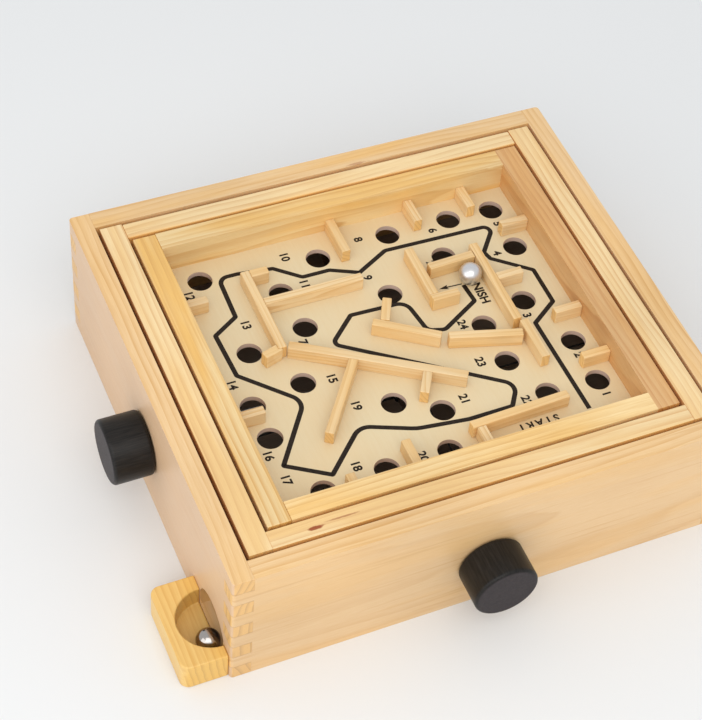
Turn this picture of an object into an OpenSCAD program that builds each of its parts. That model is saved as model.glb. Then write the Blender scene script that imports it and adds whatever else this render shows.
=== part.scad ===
// Tilt maze game: a wooden case with a gimballed maze board. The left knob tilts the
// board towards the front or back and the front knob tilts it towards the left or right.
// X runs to the right, Y to the back, Z up. The origin is the middle of the underside.
// All sizes are in millimetres.

/* [Case] */
// Case width, left to right
case_w = 280; // [240:1:340]
// Case depth, front to back
case_d = 250; // [220:1:310]
// Case height
case_h = 82; // [60:1:100]
// Thickness of the four case walls
wall_t = 11; // [8:0.5:16]
// Rounding of the case's upright corners
corner_round = 2; // [0.5:0.25:4]
// Fingers of each corner joint, counted over both walls; an odd number
finger_count = 9; // [5:2:13]
// Thickness of the flush base board
base_t = 4; // [3:0.5:6]

/* [Tilting frames] */
// Gap between the case and the outer frame, and between the two frames
frame_gap = 2; // [1.5:0.25:4]
// Width of the outer frame's side rails
outer_side_w = 12; // [8:0.5:16]
// Width of the outer frame's front and back rails
outer_end_w = 10.5; // [10:0.5:16]
// Width of the inner frame's side rails
inner_side_w = 12.5; // [8:0.5:16]
// Width of the inner frame's front and back rails
inner_end_w = 11.5; // [8:0.5:16]
// Height of the rails, down from the top of the case
rail_h = 18; // [14:0.5:24]
// Radius of the pivot pins
pin_r = 2; // [1.5:0.25:3]
// Depth that a pivot pin goes into each side
pin_grip = 8; // [5:0.5:9]

/* [Maze board] */
// Thickness of the maze board
board_t = 3; // [2:0.5:5]
// Diameter of the holes that the ball falls through
hole_d = 13.5; // [13:0.25:18]
// Diameter of the steel balls
ball_d = 12.7; // [10:0.1:13]
// Height of the maze strips above the board
strip_h = 8.5; // [6:0.5:12]
// Thickness of the maze strips
strip_t = 5; // [2:0.25:6]
// Centres of the holes, in the order of their numbers
hole_places = [ // each value from -100 to 100
    [89, -59], [89, -30], [76, 5], [89, 43], [88, 73],
    [62, 74], [-43, 26], [25, 74], [9, 33], [-18, 70],
    [-46, 53], [-84, 75], [-77, 19], [-88, -15], [-58, -9],
    [-87, -37], [-74, -77], [-39, -75], [-19, -37], [-4, -75],
    [3, -50], [60, -58], [49, -31], [48, -4], [48, 49]
];

/* [Maze strips] */
// Stubs on the back rail: where each stands along X
back_stub_x = [-4.5, 42, 74.5]; // [-100:0.5:100]
// Stubs on the back rail: how far each reaches out of the rail
back_stub_reach = [25, 16.5, 16]; // [5:0.5:40]
// Stubs on the right rail: where each stands along Y
right_stub_y = [54.5, -13.5, -47]; // [-85:0.5:85]
// Stubs on the right rail: their reach
right_stub_reach = 16; // [5:0.5:40]
// Stubs on the left rail: where each stands along Y
left_stub_y = [55, -24.5]; // [-85:0.5:85]
// Stubs on the left rail: how far each reaches
left_stub_reach = [13.5, 15]; // [5:0.5:40]
// Stubs on the front rail: where each stands along X
front_stub_x = [-26, -60.5]; // [-100:0.5:100]
// Stubs on the front rail: how far each reaches
front_stub_reach = [21.5, 11.5]; // [5:0.5:40]
// Long wall on the left: start and end, as x, y, x, y
long_line = [-62, 10.5, -62, 67]; // [-100:0.5:100]
// Cap at the back end of the long wall
cap_line = [-59.5, 64.5, -49.5, 64.5]; // [-100:0.5:100]
// Cross wall that leaves the long wall towards the right
cross_line = [-59.5, 43.5, -3.5, 43.5]; // [-100:0.5:100]
// Slanted toe at the front end of the long wall
toe_line = [-63, 11.5, -73, 8.5]; // [-100:0.5:100]
// Diagonal wall across the middle
diagonal_line = [-58.5, 11.5, 22, -38.5]; // [-100:0.5:100]
// Long branch on the front side of the diagonal wall
branch_line = [-29.5, -8, -60.5, -50]; // [-100:0.5:100]
// Short spur on the front side of the diagonal wall
spur_line = [3, -29.5, -4.5, -42]; // [-100:0.5:100]
// Slanted wall in the middle
slant_line = [-11, 11.5, 20, -9]; // [-100:0.5:100]
// Post behind the slanted wall
post_line = [-4.2, 10.4, 3, 24.5]; // [-100:0.1:100]
// Straight wall from the slanted wall towards the lane wall
straight_line = [23.5, -10.5, 62, -21.5]; // [-100:0.5:100]
// Left side of the finish pen
pen_left_line = [28.2, 19, 28.2, 54]; // [-100:0.1:100]
// Front side of the finish pen
pen_front_line = [25.7, 16.5, 41.7, 16.5]; // [-100:0.1:100]
// Back side of the finish pen
pen_back_line = [33.5, 38, 60.5, 39]; // [-100:0.5:100]
// Right side of the finish pen
pen_right_line = [63.4, -12, 63.4, 46]; // [-100:0.1:100]
// Arm on the right side of the finish pen
pen_arm_line = [65.9, 19.5, 81, 19.5]; // [-100:0.1:100]
// Wall beside the first lane
lane_line = [66.2, -41, 66.2, -13.5]; // [-100:0.1:100]
// Wall behind the start
start_line = [9.5, -69.5, 66, -67.5]; // [-100:0.5:100]
// Post at the left end of the start wall
start_post_line = [14, -72, 14, -88]; // [-100:0.5:100]
// Where the ball lies in the finish pen
maze_ball_place = [53.5, 27.3]; // [-100:0.1:100]

/* [Knobs and shafts] */
// Knob diameter
knob_d = 35; // [25:1:45]
// Knob length
knob_l = 22; // [15:1:30]
// Rounding of the knob's edges
knob_round = 2; // [1:0.25:4]
// Gap between a knob and the case
knob_gap = 0.5; // [0.5:0.25:3]
// Radius of the knob shafts
shaft_r = 2.5; // [2:0.25:4]
// Running clearance of shafts and pins in their bores
running_gap = 0.06; // [0.02:0.01:0.1]
// Height of the left knob's shaft
left_shaft_z = 40; // [30:0.5:50]
// Height of the front knob's shaft, which passes under the other one
front_shaft_z = 34.5; // [25:0.5:35]
// Where the front knob's shaft lies along X
front_shaft_x = -2; // [-3:0.5:3]

/* [Ball return] */
// Height of the return floor at the front left corner
return_z = 7.2; // [6:0.1:12]
// Rise of the return floor towards the right, in degrees
return_rise_x = 1.15; // [0.5:0.05:3]
// Rise of the return floor towards the back, in degrees
return_rise_y = 1.7; // [0.5:0.05:3]
// Thickness of the return floor
return_t = 3; // [2:0.5:4]
// Length of the ball tray along the case
tray_l = 51; // [40:1:70]
// How far the ball tray stands out of the case
tray_w = 24; // [20:1:40]
// Height of the ball tray
tray_h = 18; // [14:1:25]
// Middle of the ball tray along Y
tray_y = -97.5; // [-110:0.5:-80]
// Rounding of the ball tray's outer corners
tray_round = 5; // [2:0.5:8]
// Diameter of the tray's pocket and of the arch in the wall
pocket_d = 35; // [28:1:45]
// Middle of the pocket and the arch along Y
pocket_y = -98.5; // [-110:0.5:-80]
// Where the ball lies in the tray's pocket
tray_ball_place = [-145.1, -107.4]; // [-150:0.1:-90]
// Height of the pocket's floor
pocket_z = 6; // [4:0.5:8]

/* [Cords] */
// Cord diameter
cord_d = 1; // [0.6:0.1:1.5]
// Turns of cord on each shaft
cord_turns = 3; // [2:1:5]
// Where the left knob's cord lies along X
left_cord_x = 8; // [5:0.5:20]
// Where the front knob's cord lies along Y
front_cord_y = -10; // [-20:0.5:-5]
// Coils of each tension spring
spring_coils = 10; // [4:1:12]

/* [Node] */
// Which node to draw

/* [Hidden] */
$fn = 64;
slack = 0.3;                       // cord to shaft
in_x = case_w / 2 - wall_t;        // inner faces of the case
in_y = case_d / 2 - wall_t;
outer_x = in_x - frame_gap;        // outer frame, outer edges
outer_y = in_y - frame_gap;
outer_in_x = outer_x - outer_side_w;
outer_in_y = outer_y - outer_end_w;
inner_x = outer_in_x - frame_gap;  // inner frame, outer edges
inner_y = outer_in_y - frame_gap;
well_x = inner_x - inner_side_w;   // well over the maze board
well_y = inner_y - inner_end_w;
rail_z = case_h - rail_h;          // underside of the rails, top of the board
pivot_z = case_h - rail_h / 2;
finger_h = case_h / finger_count;
ball_r = ball_d / 2;
bore_r = shaft_r + running_gap;
shaft_in = 7;                      // shaft length inside the far wall
shaft_in_knob = 16;
arch_z = 12.5;                     // axis of the arch in the left wall
batten_w = 12;
batten_blank_h = 30;               // the floor's slope trims the battens below this
floor_overhang = 20;               // by which the sloped blank is too large on each side
cord_r = cord_d / 2;
wrap_r = shaft_r + cord_r + slack; // axis of the cord around a shaft
turn_pitch = cord_d + 0.2;
eye_ring_r = 2.5;                  // screw eyes: ring, wire and shank
eye_wire_r = 0.8;
eye_shank_r = 1;
eye_bite = 6;                      // shank length in the wood
hook_z = rail_z - board_t - 4;     // ring centre under the frames
left_hook_y = inner_y - inner_end_w / 2;
front_hook_x = outer_x - outer_side_w / 2;
guide_out = 7;                     // ring centre of a guide to the wall it is in
left_guide_z = 38;
front_guide_z = 33;
past_guide = 2;                    // the cord bends this far behind a guide's ring
cord_loop_gap = 0.6;               // between a cord's loop and what it goes around
knot_r = cord_r + 0.4;
knot_out = 0.45;                   // from the middle of a loop's cord out to its knot's centre
run_out = 0.6;                     // from the middle of a loop's cord out to the straight run
bend_r = cord_r + 0.15;
spring_r = 2;
spring_wire_r = 0.35;
spring_pitch = 0.56;               // less than the wire, so that the coils lie close
spring_hang = 0.55;                // middle of the spring's first loop to the hook's wire
spring_neck = 1.2;                 // from a loop's middle to the next coil
spring_loop_2 = spring_hang + 2 * spring_neck + (spring_coils - 1) * spring_pitch;
pine = [0.93, 0.79, 0.55];
pale_pine = [0.96, 0.85, 0.64];
strip_pine = [0.92, 0.76, 0.50];
tray_pine = [0.93, 0.74, 0.40];
ply = [0.94, 0.88, 0.74];
black_wood = [0.12, 0.11, 0.12];
steel = [0.72, 0.72, 0.74];
cord_black = [0.10, 0.10, 0.10];

// ---- helpers ----

// Box between two opposite corners.
module box_between(low, high) {
    translate(low) cube(high - low);
}

// Turns children that stand on Z so that they run from a towards b.
module along(a, b) {
    way = b - a;
    flat = sqrt(way.x * way.x + way.y * way.y);
    translate(a) rotate([0, atan2(flat, way.z), atan2(way.y, way.x)]) children();
}

// Round rod between two points.
module rod(a, b, r) {
    along(a, b) cylinder(h = norm(b - a), r = r);
}

// Round rod along X.
module rod_x(x1, x2, y, z, r) {
    translate([x1, y, z]) rotate([0, 90, 0]) cylinder(h = x2 - x1, r = r);
}

// Round rod along Y.
module rod_y(y1, y2, x, z, r) {
    translate([x, y1, z]) rotate([-90, 0, 0]) cylinder(h = y2 - y1, r = r);
}

// Ring of round wire around Z.
module ring(ring_r, wire_r) {
    rotate_extrude() translate([ring_r, 0]) circle(r = wire_r, $fn = 24);
}

// ---- case ----

// The case's full height over a plan with rounded corners.
module rounded_case() {
    flat_x = case_w - 2 * corner_round;
    flat_y = case_d - 2 * corner_round;
    linear_extrude(height = case_h) {
        square([flat_x, case_d], center = true);
        square([case_w, flat_y], center = true);
        for (side = [-1, 1], end = [-1, 1])
            translate([side * flat_x / 2, end * flat_y / 2]) circle(r = corner_round);
    }
}

// Height at which a finger starts: the even ones belong to the side walls.
function finger_z(k) = k * finger_h;

// Left wall over the full depth, notched where the front and back walls' fingers lie.
module side_wall_blank() {
    difference() {
        intersection() {
            rounded_case();
            box_between([-case_w / 2, -case_d / 2, 0], [-in_x, case_d / 2, case_h]);
        }
        for (k = [1 : 2 : finger_count - 1], end = [-1, 1])
            translate([-case_w / 2 - 1, end * (in_y + wall_t) - wall_t, finger_z(k)])
                cube([wall_t + 2, 2 * wall_t, finger_h]);
    }
}

// Front wall between the side walls, with its fingers through them.
module end_wall_blank() {
    intersection() {
        rounded_case();
        union() {
            box_between([-in_x, -case_d / 2, 0], [in_x, -in_y, case_h]);
            for (k = [1 : 2 : finger_count - 1])
                box_between([-case_w / 2, -case_d / 2, finger_z(k)], [case_w / 2, -in_y, finger_z(k + 1)]);
        }
    }
}

module pocket_cut() {
    translate([-case_w / 2 - 0.5, pocket_y, pocket_z]) cylinder(h = case_h, r = pocket_d / 2);
}

module arch_cut() {
    intersection() {
        rod_x(-case_w / 2 - 1, -in_x + 1, pocket_y, arch_z, pocket_d / 2);
        box_between([-case_w, -case_d, pocket_z], [0, 0, case_h]);
    }
}

module case_left_wall() {
    color(pine) difference() {
        side_wall_blank();
        arch_cut();
        rod_x(-case_w, 0, 0, left_shaft_z, bore_r);
        guide_holes();
    }
}

module case_right_wall() {
    color(pine) difference() {
        mirror([1, 0, 0]) side_wall_blank();
        rod_x(0, in_x + shaft_in + 1, 0, left_shaft_z, bore_r);
        guide_holes();
    }
}

module case_front_wall() {
    color(pine) difference() {
        end_wall_blank();
        rod_y(-case_d, 0, front_shaft_x, front_shaft_z, bore_r);
        rod_y(-in_y - pin_grip, 0, 0, pivot_z, pin_r);
        guide_holes();
    }
}

module case_back_wall() {
    color(pine) difference() {
        mirror([0, 1, 0]) end_wall_blank();
        rod_y(0, in_y + shaft_in + 1, front_shaft_x, front_shaft_z, bore_r);
        rod_y(0, in_y + pin_grip, 0, pivot_z, pin_r);
        guide_holes();
    }
}

module base_board() {
    color(ply) box_between([-in_x, -in_y, 0], [in_x, in_y, base_t]);
}

// A block with the return floor's slope: its top passes the front left corner at height z.
module sloped_block(z, t) {
    translate([-in_x, -in_y, z]) rotate([return_rise_y, -return_rise_x, 0])
        translate([-floor_overhang, -floor_overhang, -t])
            cube([case_w + floor_overhang, case_d + floor_overhang, t]);
}

module return_floor() {
    color(ply) intersection() {
        sloped_block(return_z, return_t);
        box_between([-in_x, -in_y, 0], [in_x, in_y, case_h]);
    }
}

// Batten on the base board between two corners, trimmed to the return floor's slope.
module batten(low, high) {
    color(pine) difference() {
        box_between(low, high);
        sloped_block(return_z - return_t + case_h, case_h);
    }
}

module back_batten() {
    batten([-in_x, in_y - batten_w, base_t], [in_x, in_y, batten_blank_h]);
}

module right_batten() {
    batten([in_x - batten_w, -in_y, base_t], [in_x, in_y - batten_w, batten_blank_h]);
}

// Tray plan: a rectangle against the case with its two outer corners rounded.
module tray_plan() {
    outer = -case_w / 2 - tray_w;
    half = tray_l / 2;
    translate([outer + tray_round, tray_y - half]) square([tray_w - tray_round, tray_l]);
    translate([outer, tray_y - half + tray_round]) square([tray_round, tray_l - 2 * tray_round]);
    for (end = [-1, 1])
        translate([outer + tray_round, tray_y + end * (half - tray_round)]) circle(r = tray_round);
}

module ball_tray() {
    color(tray_pine) difference() {
        linear_extrude(height = tray_h) tray_plan();
        pocket_cut();
    }
}

// ---- tilting frames ----

// Side rail of a frame, from its outer edge x inwards, the full depth of the frame.
module side_rail(side, x, y, w) {
    mirror([side < 0 ? 1 : 0, 0, 0]) box_between([x - w, -y, rail_z], [x, y, case_h]);
}

// End rail of a frame, butted between the side rails, whose inner faces are at x.
module end_rail(end, x, y, w) {
    mirror([0, end < 0 ? 1 : 0, 0]) box_between([-x, y - w, rail_z], [x, y, case_h]);
}

// Bores in the outer frame: running on the case's pins, tight on the inner frame's pins.
module outer_frame_bores() {
    rod_y(-outer_y - 1, -outer_y + pin_grip + 1, 0, pivot_z, pin_r + running_gap);
    rod_y(outer_y - pin_grip - 1, outer_y + 1, 0, pivot_z, pin_r + running_gap);
    rod_x(-outer_in_x - pin_grip, -outer_in_x + 1, 0, pivot_z, pin_r);
    rod_x(outer_in_x - 1, outer_in_x + pin_grip, 0, pivot_z, pin_r);
    for (side = [-1, 1])
        translate([side * front_hook_x, front_cord_y, 0])
            cylinder(h = rail_z + eye_bite, r = eye_shank_r);
}

// Bores in the inner frame: they run on the outer frame's pins.
module inner_frame_bores() {
    rod_x(-inner_x - 1, -inner_x + pin_grip + 1, 0, pivot_z, pin_r + running_gap);
    rod_x(inner_x - pin_grip - 1, inner_x + 1, 0, pivot_z, pin_r + running_gap);
    for (end = [-1, 1])
        translate([left_cord_x, end * left_hook_y, 0])
            cylinder(h = rail_z + eye_bite, r = eye_shank_r);
}

module outer_side_rail(side) {
    color(pale_pine) difference() {
        side_rail(side, outer_x, outer_y, outer_side_w);
        outer_frame_bores();
    }
}

module outer_end_rail(end) {
    color(pale_pine) difference() {
        end_rail(end, outer_in_x, outer_y, outer_end_w);
        outer_frame_bores();
    }
}

module inner_side_rail(side) {
    color(pale_pine) difference() {
        side_rail(side, inner_x, inner_y, inner_side_w);
        inner_frame_bores();
    }
}

module inner_end_rail(end) {
    color(pale_pine) difference() {
        end_rail(end, well_x, inner_y, inner_end_w);
        inner_frame_bores();
    }
}

module outer_pivot_pins() {
    color(steel) for (end = [0, 1]) mirror([0, end, 0])
        rod_y(-in_y - pin_grip, -outer_y + pin_grip, 0, pivot_z, pin_r);
}

module inner_pivot_pins() {
    color(steel) for (side = [0, 1]) mirror([side, 0, 0])
        rod_x(-outer_in_x - pin_grip, -inner_x + pin_grip, 0, pivot_z, pin_r);
}

// ---- maze ----

module maze_board() {
    color(ply) difference() {
        box_between([-inner_x, -inner_y, rail_z - board_t], [inner_x, inner_y, rail_z]);
        for (place = hole_places)
            translate([place.x, place.y, 0]) cylinder(h = case_h, r = hole_d / 2);
        inner_frame_bores();
    }
}

// Strip of the maze from one point to another; line is x, y, x, y.
module strip(line) {
    way = [line[2] - line[0], line[3] - line[1]];
    translate([line[0], line[1], rail_z]) rotate([0, 0, atan2(way.y, way.x)])
        translate([0, -strip_t / 2, 0]) cube([norm(way), strip_t, strip_h]);
}

module maze_strip(line) {
    color(strip_pine) strip(line);
}

// Strip whose end is cut off along another strip.
module butted_strip(line, other) {
    color(strip_pine) difference() {
        strip(line);
        strip(other);
    }
}

module back_stubs() {
    for (k = [0 : 2])
        maze_strip([back_stub_x[k], well_y - back_stub_reach[k], back_stub_x[k], well_y]);
}

module right_stubs() {
    for (y = right_stub_y)
        maze_strip([well_x - right_stub_reach, y, well_x, y]);
}

module left_stubs() {
    for (k = [0 : 1])
        maze_strip([-well_x, left_stub_y[k], left_stub_reach[k] - well_x, left_stub_y[k]]);
}

module front_stubs() {
    for (k = [0 : 1])
        maze_strip([front_stub_x[k], -well_y, front_stub_x[k], front_stub_reach[k] - well_y]);
}

// ---- balls ----

// Ball that lies on a floor at height z.
module ball(place, z) {
    color(steel) translate([place.x, place.y, z + ball_r]) sphere(r = ball_r);
}

// ---- knobs, shafts and cords ----

// Half section of a knob with rounded edges, turned about Y, with a blind bore at its foot.
module knob_section() {
    r = knob_d / 2;
    square([r - knob_round, knob_l]);
    translate([0, knob_round]) square([r, knob_l - 2 * knob_round]);
    for (y = [knob_round, knob_l - knob_round]) translate([r - knob_round, y]) circle(r = knob_round);
}

// Knob standing on Z, its foot at the origin.
module knob() {
    difference() {
        rotate_extrude() knob_section();
        translate([0, 0, -1]) cylinder(h = shaft_in_knob + 1, r = shaft_r);
    }
}

module left_knob() {
    color(black_wood) translate([-case_w / 2 - knob_gap, 0, left_shaft_z]) rotate([0, -90, 0]) knob();
}

module front_knob() {
    color(black_wood) translate([front_shaft_x, -case_d / 2 - knob_gap, front_shaft_z])
        rotate([90, 0, 0]) knob();
}

module left_shaft() {
    near_end = -case_w / 2 - knob_gap - shaft_in_knob;
    color(steel) rod_x(near_end, in_x + shaft_in, 0, left_shaft_z, shaft_r);
}

module front_shaft() {
    near_end = -case_d / 2 - knob_gap - shaft_in_knob;
    color(steel) rod_y(near_end, in_y + shaft_in, front_shaft_x, front_shaft_z, shaft_r);
}

// Shank of a screw eye whose ring is centred on the origin, up Z to a given height.
module eye_shank(height) {
    translate([0, 0, eye_ring_r]) cylinder(h = height - eye_ring_r, r = eye_shank_r);
}

module screw_eye(height) {
    rotate([90, 0, 0]) ring(eye_ring_r, eye_wire_r);
    eye_shank(height);
}

// The four guides on the case, two for each cord, with their rings lying flat.
module place_guides() {
    for (end = [-1, 1])
        translate([left_cord_x, end * (in_y - guide_out), left_guide_z])
            rotate([-end * 90, 0, 0]) children();
    for (side = [-1, 1])
        translate([side * (in_x - guide_out), front_cord_y, front_guide_z]) rotate([0, side * 90, 0])
            rotate([0, 0, 90]) children();
}

module guide_holes() {
    place_guides() eye_shank(guide_out + eye_bite);
}

module cord_guides() {
    color(steel) place_guides() screw_eye(guide_out + eye_bite);
}

module inner_frame_hooks() {
    color(steel) for (end = [-1, 1])
        translate([left_cord_x, end * left_hook_y, hook_z]) screw_eye(rail_z - hook_z + eye_bite);
}

module outer_frame_hooks() {
    color(steel) for (side = [-1, 1])
        translate([side * front_hook_x, front_cord_y, hook_z]) rotate([0, 0, 90])
            screw_eye(rail_z - hook_z + eye_bite);
}

// Point a given way from a towards b, or beyond it.
function on_way(a, b, way) = a + way * (b - a) / norm(b - a);

// Point behind a guide's ring where a cord bends.
function behind(anchor, guide) = on_way(anchor, guide, norm(guide - anchor) + past_guide);

// The same point at the other end of the left knob's or the front knob's cord.
function flip_y(p) = [p.x, -p.y, p.z];
function flip_x(p) = [-p.x, p.y, p.z];

// Where each cord holds a hook's wire, and where it bends.
left_anchor = [left_cord_x, left_hook_y, hook_z - eye_ring_r];
left_bend = behind(left_anchor, [left_cord_x, in_y - guide_out, left_guide_z]);
front_anchor = [front_hook_x, front_cord_y, hook_z - eye_ring_r];
front_bend = behind(front_anchor, [in_x - guide_out, front_cord_y, front_guide_z]);

// One end of a cord, up to its bend: a loop around a wire, a knot and a straight run.
// The wire lies a given way from the anchor. The loop is turned about the run by an angle.
module cord_end(anchor, bend, way, wire_r, turn) {
    loop_r = wire_r + cord_r + cord_loop_gap;
    held = on_way(anchor, bend, way);
    along(held, bend) rotate([90, 0, turn]) ring(loop_r, cord_r);
    translate(on_way(held, bend, loop_r + knot_out)) sphere(r = knot_r);
    rod(on_way(held, bend, loop_r + run_out), bend, cord_r);
    translate(bend) sphere(r = bend_r);
}

module left_cord() {
    color(cord_black) {
        cord_end(flip_y(left_anchor), flip_y(left_bend), 0, eye_wire_r, 0);
        cord_end(left_anchor, left_bend, spring_loop_2 + spring_r, spring_wire_r, 90);
        rod(flip_y(left_bend), left_bend, cord_r);
        for (k = [1 : cord_turns])
            translate([left_cord_x + k * turn_pitch, 0, left_shaft_z])
                rotate([0, 90, 0]) ring(wrap_r, cord_r);
    }
}

module front_cord() {
    color(cord_black) {
        cord_end(flip_x(front_anchor), flip_x(front_bend), 0, eye_wire_r, 0);
        cord_end(front_anchor, front_bend, spring_loop_2 + spring_r, spring_wire_r, 90);
        rod(flip_x(front_bend), front_bend, cord_r);
        for (k = [1 : cord_turns])
            translate([front_shaft_x, front_cord_y - k * turn_pitch, front_shaft_z])
                rotate([90, 0, 0]) ring(wrap_r, cord_r);
    }
}

// Close-wound spring with a loop at each end, hung on the wire at the anchor.
module spring(anchor, bend) {
    color(steel) along(anchor, bend) {
        for (z = [spring_hang, spring_loop_2])
            translate([0, 0, z]) rotate([90, 0, 0]) ring(spring_r, spring_wire_r);
        for (k = [0 : spring_coils - 1])
            translate([0, 0, spring_hang + spring_neck + k * spring_pitch])
                ring(spring_r, spring_wire_r);
    }
}

// ---- drawing ----

case_left_wall();
case_right_wall();
case_front_wall();
case_back_wall();
base_board();
return_floor();
back_batten();
right_batten();
ball_tray();
outer_pivot_pins();
cord_guides();
outer_side_rail(-1);  // outer_rail_left
outer_side_rail(1);  // outer_rail_right
outer_end_rail(-1);  // outer_rail_front
outer_end_rail(1);  // outer_rail_back
inner_pivot_pins();
outer_frame_hooks();
inner_side_rail(-1);  // inner_rail_left
inner_side_rail(1);  // inner_rail_right
inner_end_rail(-1);  // inner_rail_front
inner_end_rail(1);  // inner_rail_back
maze_board();
inner_frame_hooks();
back_stubs();
right_stubs();
left_stubs();
front_stubs();
maze_strip(long_line);  // long_wall
maze_strip(cap_line);  // long_wall_cap
butted_strip(toe_line, long_line);  // long_wall_toe
maze_strip(cross_line);  // cross_wall
maze_strip(diagonal_line);  // diagonal_wall
butted_strip(branch_line, diagonal_line);  // diagonal_branch
butted_strip(spur_line, diagonal_line);  // diagonal_spur
maze_strip(slant_line);  // slanted_wall
maze_strip(post_line);  // slanted_post
maze_strip(straight_line);  // straight_wall
maze_strip(pen_left_line);  // pen_left
maze_strip(pen_front_line);  // pen_front
maze_strip(pen_back_line);  // pen_back
maze_strip(pen_right_line);  // pen_right
maze_strip(pen_arm_line);  // pen_arm
maze_strip(lane_line);  // lane_wall
maze_strip(start_line);  // start_wall
maze_strip(start_post_line);  // start_post
ball(maze_ball_place, rail_z);  // maze_ball
ball(tray_ball_place, pocket_z);  // tray_ball
left_knob();
left_shaft();
front_knob();
front_shaft();
left_cord();
front_cord();
spring(left_anchor, left_bend);  // left_cord_spring
spring(front_anchor, front_bend);  // front_cord_spring
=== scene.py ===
"""Looks of the tilt maze game: pine, a printed maze board, black knobs and steel balls."""

import math

import bmesh
import bpy
import numpy as np
from mathutils import Matrix, Vector


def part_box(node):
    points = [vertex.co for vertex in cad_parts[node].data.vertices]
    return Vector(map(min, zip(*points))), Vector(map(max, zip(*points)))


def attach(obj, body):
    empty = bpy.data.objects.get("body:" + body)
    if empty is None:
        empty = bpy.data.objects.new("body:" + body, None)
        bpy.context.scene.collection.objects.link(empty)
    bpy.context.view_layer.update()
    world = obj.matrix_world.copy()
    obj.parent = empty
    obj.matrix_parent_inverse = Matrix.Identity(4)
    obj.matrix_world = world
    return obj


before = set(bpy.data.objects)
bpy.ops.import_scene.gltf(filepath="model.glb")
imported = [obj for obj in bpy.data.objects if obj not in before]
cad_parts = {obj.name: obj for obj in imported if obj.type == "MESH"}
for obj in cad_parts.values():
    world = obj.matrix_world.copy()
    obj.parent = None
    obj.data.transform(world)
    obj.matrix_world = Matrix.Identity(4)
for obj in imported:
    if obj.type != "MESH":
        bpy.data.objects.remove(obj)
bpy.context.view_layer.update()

MM = 0.001
BOARD_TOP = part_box("maze_board")[1].z
INK_LIFT = 0.03 * MM
WELD_DISTANCE = 0.002 * MM
FINGERS = 9
CASE_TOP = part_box("case_left_wall")[1].z
INSIDE_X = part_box("base_board")[1].x
INSIDE_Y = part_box("base_board")[1].y

# Camera: where it stands from the point that it looks at, and how it is turned.
CAMERA_AIM = Vector((0.018, -0.040, 0.082))
CAMERA_DISTANCE = 1.038
CAMERA_AZIMUTH = math.radians(-121.7)
CAMERA_ELEVATION = math.radians(49.5)
CAMERA_ROLL = math.radians(9.3)
CAMERA_LENS = 103.5
CAMERA_SENSOR = 36.0
CAMERA_SHIFT = (-0.162, 0.009)

LIGHT_AIM = Vector((0, 0, 0.05))
ROOM_LIGHT = 0.80
FLOOR_SIZE = 8

# The printed route: x, y and rounding of each bend in millimetres, from the start to the finish.
ROUTE = [
    (76, -75, 0), (75, -12, 0.5), (91, -1, 0.5), (91, 23.5, 1), (72, 39, 1), (70.5, 44.5, 1),
    (84.5, 62, 3.6), (19, 63.5, 4), (-0.5, 53, 0.5), (-15.5, 60, 3), (-31, 60, 3), (-44, 71, 0.5),
    (-63.5, 73.5, 3), (-74, 73.5, 5), (-75, 45, 1), (-89.5, 36, 1), (-88.5, 7, 1), (-62, -20.3, 8),
    (-87, -55.5, 0.5), (-66, -69, 0.5), (-41.7, -45.3, 9), (-14.5, -56.5, 20), (13.5, -60, 20),
    (38.5, -59.8, 2), (46.9, -47.3, 6.6), (-33.8, 10.4, 3.2), (-17, 26, 2), (14.5, 25, 7),
    (17.8, 2.6, 5), (27, 0, 4), (50.5, 13.5, 1), (49.5, 26, 0),
]
ROUTE_WIDTH = 2.6
ARROW_WIDTH = 0.8

# Middles of the printed hole numbers, in millimetres, from 1 upwards.
NUMBER_PLACES = [
    (89, -69), (87, -40), (73, -5.5), (77, 41.5), (87, 62), (50, 69), (-48, 17), (8, 76), (2, 48),
    (-35, 77), (-32, 55), (-93, 67), (-72, 38), (-93, 2), (-43, -11), (-92, -47), (-89, -64),
    (-53, -68), (-38, -32), (-19, -74), (16.5, -47), (47, -59), (35, -27), (37, 0), (39, 45),
]
NUMBER_SIZE = 6.5
FINISH_SIZE = 7.0
START_SIZE = 6.2
START_SPACING = 1.4
# How much thicker the strokes are than the plain letters', as a share of the letter size.
LETTER_WEIGHT = 0.036


# ---- node helpers ----

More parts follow.
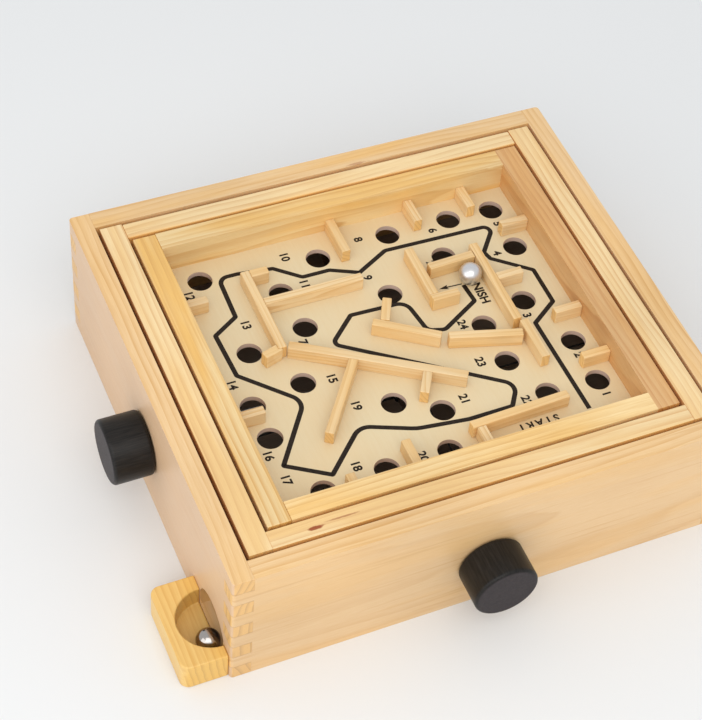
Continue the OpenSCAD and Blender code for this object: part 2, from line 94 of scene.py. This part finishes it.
class Shader:
    """A material's node tree, with short calls that add a node and wire its inputs."""

    def __init__(self, name):
        self.material = bpy.data.materials.new(name)
        self.material.use_nodes = True
        self.tree = self.material.node_tree
        self.surface = self.tree.nodes["Principled BSDF"]
        self.coordinates = self.tree.nodes.new("ShaderNodeTexCoord")

    def plug(self, socket, value):
        if isinstance(value, bpy.types.NodeSocket):
            self.tree.links.new(value, socket)
        else:
            socket.default_value = value

    def add(self, kind, inputs=(), **settings):
        node = self.tree.nodes.new("ShaderNode" + kind)
        for key, value in settings.items():
            setattr(node, key, value)
        for key, value in dict(inputs).items():
            self.plug(node.inputs[key], value)
        return node

    def math(self, operation, a, b=0.0):
        return self.add("Math", {0: a, 1: b}, operation=operation).outputs[0]

    def map_range(self, value, low, high, to_low=0.0, to_high=1.0):
        inputs = {0: value, 1: low, 2: high, 3: to_low, 4: to_high}
        return self.add("MapRange", inputs, clamp=True).outputs[0]

    def noise(self, vector, scale, detail=3.0, roughness=0.5):
        inputs = {"Vector": vector, "Scale": scale, "Detail": detail, "Roughness": roughness}
        return self.add("TexNoise", inputs).outputs[0]

    def mapped(self, vector, location=(0, 0, 0), rotation=(0, 0, 0), scale=(1, 1, 1)):
        inputs = {"Vector": vector, "Location": location, "Rotation": rotation, "Scale": scale}
        return self.add("Mapping", inputs).outputs[0]

    def ramp(self, value, stops):
        node = self.add("ValToRGB", {0: value})
        band = node.color_ramp
        while len(band.elements) < len(stops):
            band.elements.new(0.5)
        for element, (place, colour) in zip(band.elements, stops):
            element.position = place
            element.color = (*colour, 1.0)
        return node.outputs[0]

    def blend(self, share, a, b, mode="MIX"):
        node = self.add("Mix", data_type="RGBA", blend_type=mode)
        for socket, value in ((node.inputs[0], share), (node.inputs[6], a), (node.inputs[7], b)):
            if isinstance(value, tuple):
                value = (*value, 1.0)
            self.plug(socket, value)
        return node.outputs[2]

    def bump(self, height, strength, distance):
        inputs = {"Height": height, "Strength": strength, "Distance": distance}
        self.plug(self.surface.inputs["Normal"], self.add("Bump", inputs).outputs[0])

    def finish(self, colour, roughness, **uniform):
        self.plug(self.surface.inputs["Base Color"], colour)
        self.plug(self.surface.inputs["Roughness"], roughness)
        for key, value in uniform.items():
            self.surface.inputs[key.replace("_", " ")].default_value = value
        return self.material


# ---- materials ----

# Colours of each kind of pine: early wood, late wood, and the glow of the resin-rich patches.
PINE = {"early": (0.84, 0.585, 0.31), "late": (0.62, 0.33, 0.10), "glow": (0.83, 0.49, 0.15)}
PALE_PINE = {"early": (0.89, 0.68, 0.37), "late": (0.66, 0.38, 0.15), "glow": (0.83, 0.51, 0.17)}
RAIL_PINE = {"early": (0.88, 0.665, 0.34), "late": (0.64, 0.34, 0.09), "glow": (0.84, 0.48, 0.11)}
AMBER_PINE = {"early": (0.72, 0.45, 0.20), "late": (0.50, 0.21, 0.06), "glow": (0.70, 0.35, 0.09)}
STRIP_PINE = {"early": (0.87, 0.655, 0.37), "late": (0.68, 0.39, 0.13), "glow": (0.82, 0.49, 0.15)}
TRAY_PINE = {"early": (0.88, 0.60, 0.21), "late": (0.72, 0.38, 0.08), "glow": (0.86, 0.52, 0.12)}
KNOT_BROWN = (0.30, 0.05, 0.002)
# Painted shade: the brown that darkens the seams of the case's finger joints.
SEAM_SHADE_BROWN = (0.30, 0.13, 0.04)

# How strongly the rings show on upright faces: on the case's walls, and elsewhere.
WALL_RING_SHARE = 0.45
RING_SHARE = 0.9
# How strongly the painted shade darkens the seams of the finger joints.
SEAM_SHADE_SHARE = 0.25


def year_rings(shader, placed, ring):
    """Share of late wood in the year rings, whose space is given in millimetres."""
    # The log sways along its length, so the rings wander slowly.
    sway = shader.noise(shader.mapped(placed, scale=(0.30, 1.0, 1.0)), 14.0, 2.0)
    wobble = shader.noise(shader.mapped(placed, scale=(0.10, 1.0, 1.0)), 90.0, 2.0)
    split = shader.add("SeparateXYZ", {0: placed})
    across = shader.math("POWER", split.outputs[1], 2.0)
    deep = shader.math("POWER", split.outputs[2], 2.0)
    radius = shader.math("SQRT", shader.math("ADD", across, deep))
    swayed = shader.math("ADD", radius, shader.math("MULTIPLY", sway, 26 * MM))
    wobbled = shader.math("ADD", swayed, shader.math("MULTIPLY", wobble, 3.6 * MM))
    year = shader.math("FRACT", shader.math("MULTIPLY", wobbled, 1.0 / (ring * MM)))
    stops = ((0.0, 0.03), (0.40, 0.12), (0.78, 0.60), (0.93, 0.9), (1.0, 0.03))
    return shader.ramp(year, [(place, (grey, grey, grey)) for place, grey in stops])


def end_grain(shader, placed, late, tone):
    """End grain drinks the varnish and turns darker and yellower."""
    pores = shader.noise(placed, 1800.0, 3.0, 0.7)
    arcs = shader.map_range(late, 0.2, 0.9, 0.0, 0.8)
    wood = shader.blend(arcs, tone["glow"], tuple(0.85 * c for c in tone["late"]))
    return shader.blend(shader.map_range(pores, 0.45, 0.75, 0.0, 0.3), wood, tone["late"])


def pine(name, turn, seed, tone, ring, glow, knots, wall, upright):
    """Sawn and varnished pine. turn is the grain's angle from X, seed says where in the log it was cut
    and ring is the space between the year rings in millimetres. glow is how much resin-rich wood there
    is, knots are the places of small brown knots and wall draws a case wall with painted shade in the
    seams of its corner joints. upright is the share and the colour of the painted shade on the upright
    faces."""
    shader = Shader(name)
    rng = np.random.default_rng(seed)
    heart_y = -rng.uniform(0.025, 0.06)
    heart_z = -rng.uniform(0.02, 0.07)
    along = shader.mapped(shader.coordinates.outputs["Object"], rotation=(0, 0, -turn))
    placed = shader.mapped(along, location=(rng.uniform(-3, 3), heart_y, heart_z))
    late = year_rings(shader, placed, ring)
    # Some rings stand out more than others, and fade along the wood.
    fading = shader.noise(shader.mapped(placed, scale=(0.18, 1.0, 1.0)), 70.0, 2.0)
    strength = shader.map_range(fading, 0.32, 0.66, 0.22, 1.0)
    # The upright faces of the walls lie along the rings and show them weakly.
    inputs = {"Vector": shader.coordinates.outputs["Normal"], "Angle": -turn}
    normal = shader.add("VectorRotate", inputs, rotation_type="Z_AXIS").outputs[0]
    facing = shader.add("SeparateXYZ", {0: normal})
    level = shader.map_range(shader.math("ABSOLUTE", facing.outputs[2]), 0.5, 0.9)
    weakest = WALL_RING_SHARE if wall else RING_SHARE
    strength = shader.math("MULTIPLY", strength, shader.map_range(level, 0.0, 1.0, weakest, 1.0))
    amount = shader.math("MULTIPLY", late, strength)
    # Resin-rich wood glows orange in long patches.
    patch = shader.noise(shader.mapped(placed, scale=(0.12, 1.0, 1.0)), 75.0, 2.0)
    rich = shader.math("MULTIPLY", shader.map_range(patch, 0.46, 0.64), glow)
    shade = rng.uniform(0.94, 1.05)
    early = tuple(shade * c for c in tone["early"])
    wood = shader.blend(rich, early, tone["glow"])
    wood = shader.blend(amount, wood, tone["late"])
    # Fibres and short resin streaks run with the grain.
    fibres = shader.noise(shader.mapped(placed, scale=(0.04, 1.0, 1.0)), 2200.0, 2.0, 0.65)
    wood = shader.blend(shader.map_range(fibres, 0.35, 0.75, 0.0, 0.30), wood, tone["late"])
    streaks = shader.noise(shader.mapped(placed, scale=(0.025, 1.0, 1.0)), 420.0, 1.0)
    wood = shader.blend(shader.map_range(streaks, 0.60, 0.74, 0.0, 0.45), wood, tone["late"])
    # Painted shade: the upright faces are blended towards a darker tint.
    share, colour = upright
    wood = shader.blend(shader.map_range(level, 0.0, 1.0, share, 0.0), wood, colour)
    end = shader.map_range(shader.math("ABSOLUTE", facing.outputs[0]), 0.75, 0.95, 0.0, 0.75)
    wood = shader.blend(end, wood, end_grain(shader, placed, late, tone))
    for x, y, z, length, width, darkness in knots:
        there = shader.math("MULTIPLY", knot(shader, x, y, z, length, width), darkness)
        wood = shader.blend(there, wood, KNOT_BROWN)
    # Painted shade darkens the seams between the case's finger joints.
    if wall:
        wood = shader.blend(seam_shade_lines(shader), wood, SEAM_SHADE_BROWN)
    patches = shader.map_range(shader.noise(along, 9.0, 1.0), 0.35, 0.65, 0.94, 1.04)
    even = shader.add("CombineColor", {0: patches, 1: patches, 2: patches}).outputs[0]
    wood = shader.blend(1.0, wood, even, "MULTIPLY")
    height = shader.math("ADD", fibres, shader.math("MULTIPLY", late, 0.6))
    shader.bump(height, 0.12, 0.2 * MM)
    rough = shader.map_range(fibres, 0.3, 0.7, 0.38, 0.52)
    return shader.finish(wood, rough, Coat_Weight=0.10, Coat_Roughness=0.30)


def seam_shade_lines(shader):
    """Share of the brown painted shade in the seams between the fingers of the case's corner joints."""
    place = shader.add("SeparateXYZ", {0: shader.coordinates.outputs["Object"]})
    rough_edge = shader.noise(shader.coordinates.outputs["Object"], 260.0, 2.0)
    ragged = shader.map_range(rough_edge, 0.3, 0.7, 0.10, 0.60)
    count = shader.math("MULTIPLY", place.outputs[2], FINGERS / CASE_TOP)
    from_line = shader.math("MULTIPLY", shader.math("PINGPONG", count, 0.5), CASE_TOP / FINGERS / MM)
    lines = shader.math("LESS_THAN", from_line, ragged)
    # There is no joint on the case's top and bottom.
    lines = shader.math("MULTIPLY", lines, shader.math("LESS_THAN", place.outputs[2], CASE_TOP - MM))
    lines = shader.math("MULTIPLY", lines, shader.math("GREATER_THAN", place.outputs[2], MM))
    for axis, face in ((0, INSIDE_X), (1, INSIDE_Y)):
        beyond = shader.math("GREATER_THAN", shader.math("ABSOLUTE", place.outputs[axis]), face)
        lines = shader.math("MULTIPLY", lines, beyond)
    return shader.math("MULTIPLY", lines, SEAM_SHADE_SHARE)


def knot(shader, x, y, z, length, width):
    """Share of a small knot at a place in millimetres, stretched along X."""
    place = shader.coordinates.outputs["Object"]
    away = shader.mapped(place, location=(-x * MM, -y * MM, -z * MM))
    scaled = shader.mapped(away, scale=(1 / (length * MM), 1 / (width * MM), 1 / (width * MM)))
    ragged = shader.noise(place, 300.0, 2.0)
    distance = shader.add("VectorMath", {0: scaled}, operation="LENGTH").outputs["Value"]
    reach = shader.math("ADD", distance, ragged)
    return shader.map_range(reach, 1.15, 1.6, 1.0, 0.0)


def printed_board():
    """Smooth cream board; its sawn edges, in the holes, are paler and rougher."""
    shader = Shader("printed_board")
    place = shader.coordinates.outputs["Object"]
    grain = shader.noise(shader.mapped(place, scale=(1.0, 0.08, 1.0)), 900.0, 3.0, 0.6)
    cloud = shader.noise(place, 14.0, 2.0)
    streaked = shader.map_range(grain, 0.35, 0.7, 0.0, 0.30)
    cream = shader.blend(streaked, (0.75, 0.625, 0.40), (0.70, 0.54, 0.29))
    cream = shader.blend(shader.map_range(cloud, 0.35, 0.7, 0.0, 0.45), cream, (0.79, 0.56, 0.29))
    facing = shader.add("SeparateXYZ", {0: shader.coordinates.outputs["Normal"]}).outputs[2]
    edge = shader.map_range(shader.math("ABSOLUTE", facing), 0.25, 0.6, 1.0, 0.0)
    layers = shader.noise(shader.mapped(place, scale=(0.1, 0.1, 1.0)), 1500.0, 1.0)
    cut = shader.blend(layers, (0.72, 0.55, 0.45), (0.56, 0.40, 0.31))
    colour = shader.blend(edge, cream, cut)
    shader.bump(grain, 0.05, 0.0001)
    return shader.finish(colour, shader.map_range(cloud, 0.3, 0.7, 0.42, 0.52))


def ink():
    shader = Shader("ink")
    patchy = shader.noise(shader.coordinates.outputs["Object"], 700.0, 4.0, 0.7)
    share = shader.map_range(patchy, 0.35, 0.75)
    colour = shader.blend(share, (0.012, 0.007, 0.004), (0.034, 0.022, 0.014))
    rough = shader.map_range(patchy, 0.3, 0.7, 0.50, 0.65)
    return shader.finish(colour, rough, Specular_IOR_Level=0.2)


def plywood(name, pale, dark):
    """Thin board with a broad figure and fine fibres."""
    shader = Shader(name)
    place = shader.coordinates.outputs["Object"]
    figure = shader.noise(shader.mapped(place, scale=(0.15, 1.0, 1.0)), 60.0, 4.0, 0.6)
    fibres = shader.noise(shader.mapped(place, scale=(0.04, 1.0, 1.0)), 1500.0, 2.0, 0.6)
    colour = shader.blend(shader.map_range(figure, 0.3, 0.7), pale, dark)
    darker = tuple(0.6 * c for c in dark)
    colour = shader.blend(shader.map_range(fibres, 0.4, 0.8, 0.0, 0.4), colour, darker)
    shader.bump(fibres, 0.15, 0.0002)
    return shader.finish(colour, 0.6)


def black_stain(name, axis):
    """Black stained wood turned about an axis; its flat ends are duller, and greyer in part as a
    painted reflection of the room.
    """
    shader = Shader(name)
    place = shader.coordinates.outputs["Object"]
    stretch = tuple(0.06 if k == axis else 1.0 for k in range(3))
    fibres = shader.noise(shader.mapped(place, scale=stretch), 1400.0, 3.0, 0.6)
    streaked = shader.map_range(fibres, 0.35, 0.75)
    body = shader.blend(streaked, (0.005, 0.0045, 0.004), (0.021, 0.018, 0.016))
    facing = shader.add("SeparateXYZ", {0: shader.coordinates.outputs["Normal"]}).outputs[axis]
    flat = shader.map_range(shader.math("ABSOLUTE", facing), 0.85, 0.97)
    pores = shader.noise(place, 500.0, 3.0, 0.6)
    # Painted reflection: the flat ends are painted a lighter, purplish grey, partly their own tone.
    end = shader.blend(pores, (0.018, 0.014, 0.015), (0.044, 0.034, 0.037))
    shader.bump(fibres, 0.25, 0.0002)
    duller = shader.math("MULTIPLY", flat, 0.12)
    rough = shader.math("ADD", shader.map_range(fibres, 0.3, 0.7, 0.34, 0.46), duller)
    return shader.finish(shader.blend(flat, body, end), rough, Specular_IOR_Level=0.24)


def steel(name, rough, colour):
    shader = Shader(name)
    scuffs = shader.noise(shader.coordinates.outputs["Object"], 900.0, 4.0, 0.7)
    darker = tuple(0.8 * c for c in colour)
    tint = shader.blend(shader.map_range(scuffs, 0.3, 0.8, 0.0, 0.4), colour, darker)
    shader.bump(scuffs, 0.02, 0.0001)
    roughness = shader.map_range(scuffs, 0.3, 0.8, rough, 1.6 * rough)
    return shader.finish(tint, roughness, Metallic=1.0)


def cord_fibre():
    shader = Shader("cord")
    weave = shader.noise(shader.coordinates.outputs["Object"], 3000.0, 3.0, 0.7)
    colour = shader.blend(shader.map_range(weave, 0.3, 0.7), (0.015, 0.015, 0.016), (0.06, 0.06, 0.062))
    shader.bump(weave, 0.5, 0.0002)
    return shader.finish(colour, 0.8)


def paint(node, material):
    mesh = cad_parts[node].data
    mesh.materials.clear()
    mesh.materials.append(material)


def grain_turn(node):
    """Angle of a strip's long side from X, from the spread of its corners."""
    corners = np.array([v.co[:2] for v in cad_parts[node].data.vertices])
    spread = np.cov((corners - corners.mean(0)).T)
    long_way = np.linalg.eigh(spread)[1][:, 1]
    return math.atan2(long_way[1], long_way[0])


ALONG_X = 0.0
ALONG_Y = math.pi / 2


def paint_wood():
    """Grain's angle, kind of pine, width of the year rings and share of glow for each wooden node."""
    woods = {
        "case_left_wall": (ALONG_Y, PINE, 4.2, 0.4),
        "case_right_wall": (ALONG_Y, PINE, 4.2, 0.4),
        "case_front_wall": (ALONG_X, PINE, 4.6, 0.4),
        "case_back_wall": (ALONG_X, PINE, 3.2, 0.7),
        "back_batten": (ALONG_X, PINE, 3.0, 0.3),
        "right_batten": (ALONG_Y, PINE, 3.0, 0.3),
        "ball_tray": (ALONG_Y, TRAY_PINE, 3.6, 0.7),
        "outer_rail_left": (ALONG_Y, PALE_PINE, 3.4, 0.6),
        "outer_rail_right": (ALONG_Y, PALE_PINE, 3.0, 0.5),
        "outer_rail_front": (ALONG_X, PALE_PINE, 3.8, 0.6),
        "outer_rail_back": (ALONG_X, PALE_PINE, 3.2, 0.6),
        "inner_rail_left": (ALONG_Y, RAIL_PINE, 4.2, 0.8),
        "inner_rail_right": (ALONG_Y, AMBER_PINE, 3.2, 0.5),
        "inner_rail_front": (ALONG_X, RAIL_PINE, 3.6, 0.6),
        "inner_rail_back": (ALONG_X, RAIL_PINE, 3.0, 0.7),
        "back_stubs": (ALONG_Y, STRIP_PINE, 2.4, 0.5),
        "front_stubs": (ALONG_Y, STRIP_PINE, 2.4, 0.5),
        "left_stubs": (ALONG_X, STRIP_PINE, 2.4, 0.5),
        "right_stubs": (ALONG_X, STRIP_PINE, 2.4, 0.5),
    }
    for node in STRIPS:
        woods[node] = (grain_turn(node), STRIP_PINE, 2.4, 0.5)
    for seed, (node, (turn, tone, ring, glow)) in enumerate(sorted(woods.items())):
        knots = KNOTS.get(node, ())
        wall = node in WALLS
        upright = UPRIGHT_SHADE.get(node, (0.0, tone["early"]))
        paint(node, pine("wood_" + node, turn, seed + 1, tone, ring, glow, knots, wall, upright))


# Share and colour of the painted shade on the upright faces: a pinkish painted shade on three walls,
# and a redder and amber painted shade on the outer frame's sides, in the gaps around it.
PINKISH_SHADE = (0.67, 0.455, 0.295)
# Amber painted shade for the sides of the outer frame's front and back rails, in the gaps.
AMBER = (0.78, 0.40, 0.10)
REDDISH_GAP_SHADE = (0.66, 0.27, 0.08)
UPRIGHT_SHADE = {
    "case_left_wall": (0.75, PINKISH_SHADE), "case_front_wall": (0.15, PINKISH_SHADE),
    "case_right_wall": (0.3, PINKISH_SHADE),
    "outer_rail_left": (0.7, REDDISH_GAP_SHADE), "outer_rail_right": (0.7, REDDISH_GAP_SHADE),
    "outer_rail_front": (0.75, AMBER), "outer_rail_back": (0.75, AMBER),
}

# Small brown knots: x, y and z of the middle, half length along X and half width in millimetres,
# and how dark each one is.
KNOTS = {
    "outer_rail_front": [(-91.5, -107.6, 82, 4.4, 1.2, 0.95), (-76, -106, 82, 9.0, 0.6, 0.6)],
    "case_back_wall": [(22, 114.8, 82, 7.0, 0.9, 0.45)],
}
STUBS = ["back_stubs", "right_stubs", "left_stubs", "front_stubs"]
STRIPS = [
    "long_wall", "long_wall_cap", "long_wall_toe", "cross_wall", "diagonal_wall", "diagonal_branch",
    "diagonal_spur", "slanted_wall", "slanted_post", "straight_wall", "pen_left", "pen_front",
    "pen_back", "pen_right", "pen_arm", "lane_wall", "start_wall", "start_post",
]
RAILS = [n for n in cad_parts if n.startswith(("outer_rail", "inner_rail"))]
WALLS = ["case_left_wall", "case_right_wall", "case_front_wall", "case_back_wall"]


# ---- softened edges ----

def soften(node, width, segments=3):
    """Rounds a node's sharp edges, as sanding does. The CAD mesh itself stays as it is."""
    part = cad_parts[node]
    weld = part.modifiers.new("weld", "WELD")
    weld.merge_threshold = WELD_DISTANCE
    flats = part.modifiers.new("flats", "DECIMATE")
    flats.decimate_type = "DISSOLVE"
    flats.angle_limit = math.radians(1)
    bevel = part.modifiers.new("bevel", "BEVEL")
    bevel.width = width * MM
    bevel.segments = segments
    bevel.limit_method = "ANGLE"
    bevel.angle_limit = math.radians(40)
    bevel.harden_normals = False
    normals = part.modifiers.new("normals", "WEIGHTED_NORMAL")
    normals.keep_sharp = False
    for polygon in part.data.polygons:
        polygon.use_smooth = True


def soften_all():
    """Widths of the rounded edges, in millimetres."""
    for node in WALLS:
        soften(node, 0.7)
    for node in RAILS:
        soften(node, 1.2)
    for node in STRIPS + STUBS:
        soften(node, 0.5, 2)
    soften("ball_tray", 1.2)
    soften("maze_board", 0.2, 2)


# ---- printing on the maze board ----

def bend(before, corner, after, radius):
    """Points of a rounded corner, between two straights."""
    back = (before - corner).normalized()
    ahead = (after - corner).normalized()
    half = back.angle(ahead) / 2
    if radius <= 0 or half > math.radians(89):
        return [corner]
    reach = radius / math.tan(half)
    room = 0.49 * min((before - corner).length, (after - corner).length)
    if reach > room:
        reach = room
        radius = reach * math.tan(half)
    middle = corner + (back + ahead).normalized() * (radius / math.sin(half))
    first = corner + back * reach - middle
    last = corner + ahead * reach - middle
    sweep = math.atan2(first.x * last.y - first.y * last.x, first.dot(last))
    steps = max(2, int(abs(sweep) / math.radians(8)) + 1)
    points = []
    for k in range(steps + 1):
        turned = Matrix.Rotation(sweep * k / steps, 2) @ first
        points.append(middle + turned)
    return points


def route_points():
    corners = [Vector((x, y)) for x, y, _ in ROUTE]
    points = [corners[0]]
    for k in range(1, len(ROUTE) - 1):
        points += bend(corners[k - 1], corners[k], corners[k + 1], ROUTE[k][2])
    return points + [corners[-1]]


def ribbon(name, points, width):
    """Flat printed line along points in millimetres, with mitred bends."""
    mesh = bmesh.new()
    sides = []
    for k, point in enumerate(points):
        ways = []
        if k > 0:
            ways.append((point - points[k - 1]).normalized())
        if k < len(points) - 1:
            ways.append((points[k + 1] - point).normalized())
        way = sum(ways, Vector((0, 0))).normalized()
        across = Vector((-way.y, way.x))
        reach = width / 2 / max(0.5, way.dot(ways[0]))
        pair = []
        for side in (1, -1):
            spot = point + across * reach * side
            pair.append(mesh.verts.new((spot.x * MM, spot.y * MM, BOARD_TOP + INK_LIFT)))
        sides.append(pair)
    for (a, b), (c, d) in zip(sides, sides[1:]):
        mesh.faces.new((a, b, d, c))
    return printed_piece(name, mesh)


def printed_piece(name, mesh):
    bmesh.ops.recalc_face_normals(mesh, faces=mesh.faces)
    for face in mesh.faces:
        if face.normal.z < 0:
            face.normal_flip()
    data = bpy.data.meshes.new(name)
    mesh.to_mesh(data)
    mesh.free()
    piece = bpy.data.objects.new(name, data)
    bpy.context.scene.collection.objects.link(piece)
    data.materials.append(INK)
    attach(piece, "inner_frame")
    return piece


def printed_text(name, words, x, y, turn, size, spacing=1.0):
    """Printed numbers or a word, centred at x and y in millimetres."""
    curve = bpy.data.curves.new(name, "FONT")
    curve.body = words
    curve.size = size * MM
    curve.space_character = spacing
    curve.align_x = "CENTER"
    curve.align_y = "CENTER"
    curve.offset = LETTER_WEIGHT * size * MM
    curve.resolution_u = 4
    lettering = bpy.data.objects.new(name + "_curve", curve)
    bpy.context.scene.collection.objects.link(lettering)
    bpy.context.view_layer.update()
    graph = bpy.context.evaluated_depsgraph_get()
    flat = bpy.data.meshes.new_from_object(lettering.evaluated_get(graph))
    bpy.data.objects.remove(lettering)
    mesh = bmesh.new()
    mesh.from_mesh(flat)
    place = Matrix.Translation((x * MM, y * MM, BOARD_TOP + INK_LIFT)) @ Matrix.Rotation(turn, 4, "Z")
    bmesh.ops.transform(mesh, matrix=place, verts=mesh.verts)
    return printed_piece(name, mesh)


def arrow():
    """Small arrow that leaves the end of the route towards the left."""
    ribbon("arrow_shaft", [Vector((49, 27)), Vector((40, 27.4))], ARROW_WIDTH)
    mesh = bmesh.new()
    corners = [(35.5, 27.5), (41, 25.8), (40, 27.4), (41, 29.0)]
    height = BOARD_TOP + INK_LIFT
    mesh.faces.new([mesh.verts.new((x * MM, y * MM, height)) for x, y in corners])
    printed_piece("arrow_head", mesh)


def print_board():
    ribbon("route_line", route_points(), ROUTE_WIDTH)
    for k, (x, y) in enumerate(NUMBER_PLACES):
        printed_text(f"number_{k + 1}", str(k + 1), x, y, -ALONG_Y, NUMBER_SIZE)
    printed_text("start_word", "START", 46.6, -74.4, math.pi, START_SIZE, START_SPACING)
    printed_text("finish_word", "FINISH", 56, 20, -ALONG_Y, FINISH_SIZE)
    arrow()


# ---- smooth metal ----

def shade_round(node):
    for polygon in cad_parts[node].data.polygons:
        polygon.use_smooth = True


# ---- stage, light and camera ----

def stage():
    bpy.ops.mesh.primitive_plane_add(size=FLOOR_SIZE)
    floor = bpy.context.object
    floor.name = "floor"
    shader = Shader("floor")
    floor.data.materials.append(shader.finish((0.80, 0.81, 0.815, 1.0), 0.6))


def area_light(name, place, size, power, colour):
    """Rectangular light that points at the game. The power is in watts."""
    data = bpy.data.lights.new(name, "AREA")
    data.shape = "RECTANGLE"
    data.size, data.size_y = size
    data.energy = power
    data.color = colour
    light = bpy.data.objects.new(name, data)
    light.location = place
    light.rotation_euler = (LIGHT_AIM - Vector(place)).to_track_quat("-Z", "Y").to_euler()
    bpy.context.scene.collection.objects.link(light)


def lights():
    """A bright even room with a large soft light high in front and a weaker one on the left."""
    bpy.context.scene.view_settings.view_transform = "Standard"
    world = bpy.data.worlds.new("studio")
    world.use_nodes = True
    background = world.node_tree.nodes["Background"]
    background.inputs[0].default_value = (0.97, 0.985, 1.0, 1.0)
    background.inputs[1].default_value = ROOM_LIGHT
    bpy.context.scene.world = world
    area_light("key", (-0.35, -0.95, 1.2), (1.3, 1.1), 9, (1.0, 0.985, 0.96))
    area_light("fill", (-1.3, -0.5, 0.7), (1.2, 1.0), 5, (1.0, 0.985, 0.98))


def camera():
    data = bpy.data.cameras.new("camera")
    data.sensor_fit = "HORIZONTAL"
    data.sensor_width = CAMERA_SENSOR
    data.lens = CAMERA_LENS
    data.shift_x, data.shift_y = CAMERA_SHIFT
    data.clip_start = 0.05
    view = bpy.data.objects.new("camera", data)
    flat = math.cos(CAMERA_ELEVATION)
    away = Vector((flat * math.cos(CAMERA_AZIMUTH), flat * math.sin(CAMERA_AZIMUTH), 0))
    away.z = math.sin(CAMERA_ELEVATION)
    level = Vector((0, 0, 1)).cross(away).normalized()
    above = away.cross(level)
    right = math.cos(CAMERA_ROLL) * level + math.sin(CAMERA_ROLL) * above
    up = math.cos(CAMERA_ROLL) * above - math.sin(CAMERA_ROLL) * level
    turn = Matrix((right, up, away)).transposed()
    view.matrix_world = Matrix.Translation(CAMERA_AIM + CAMERA_DISTANCE * away) @ turn.to_4x4()
    bpy.context.scene.collection.objects.link(view)
    bpy.context.scene.camera = view


def paint_other():
    paint("maze_board", printed_board())
    paint("base_board", plywood("base_ply", (0.72, 0.53, 0.31), (0.60, 0.41, 0.22)))
    # The return floor is painted dark brown, as painted shade seen down the holes.
    paint("return_floor", plywood("return_floor_painted_shade", (0.38, 0.29, 0.22), (0.26, 0.19, 0.14)))
    paint("left_knob", black_stain("left_knob_black", 0))
    paint("front_knob", black_stain("front_knob_black", 1))
    hardware = steel("hardware_steel", 0.28, (0.50, 0.49, 0.47))
    for node in ("outer_pivot_pins", "inner_pivot_pins", "left_shaft", "front_shaft", "cord_guides",
                 "outer_frame_hooks", "inner_frame_hooks", "left_cord_spring", "front_cord_spring"):
        paint(node, hardware)
        shade_round(node)
    paint("maze_ball", steel("maze_ball_steel", 0.30, (0.74, 0.73, 0.74)))
    # The tray ball is painted a darker, browner steel than the maze ball, as painted shade and
    # reflection from its wooden pocket.
    paint("tray_ball", steel("tray_ball_steel_painted_shade", 0.14, (0.44, 0.41, 0.39)))
    shade_round("maze_ball")
    shade_round("tray_ball")
    braid = cord_fibre()
    for node in ("left_cord", "front_cord"):
        paint(node, braid)


camera()
INK = ink()
paint_wood()
paint_other()
soften_all()
print_board()
stage()
lights()
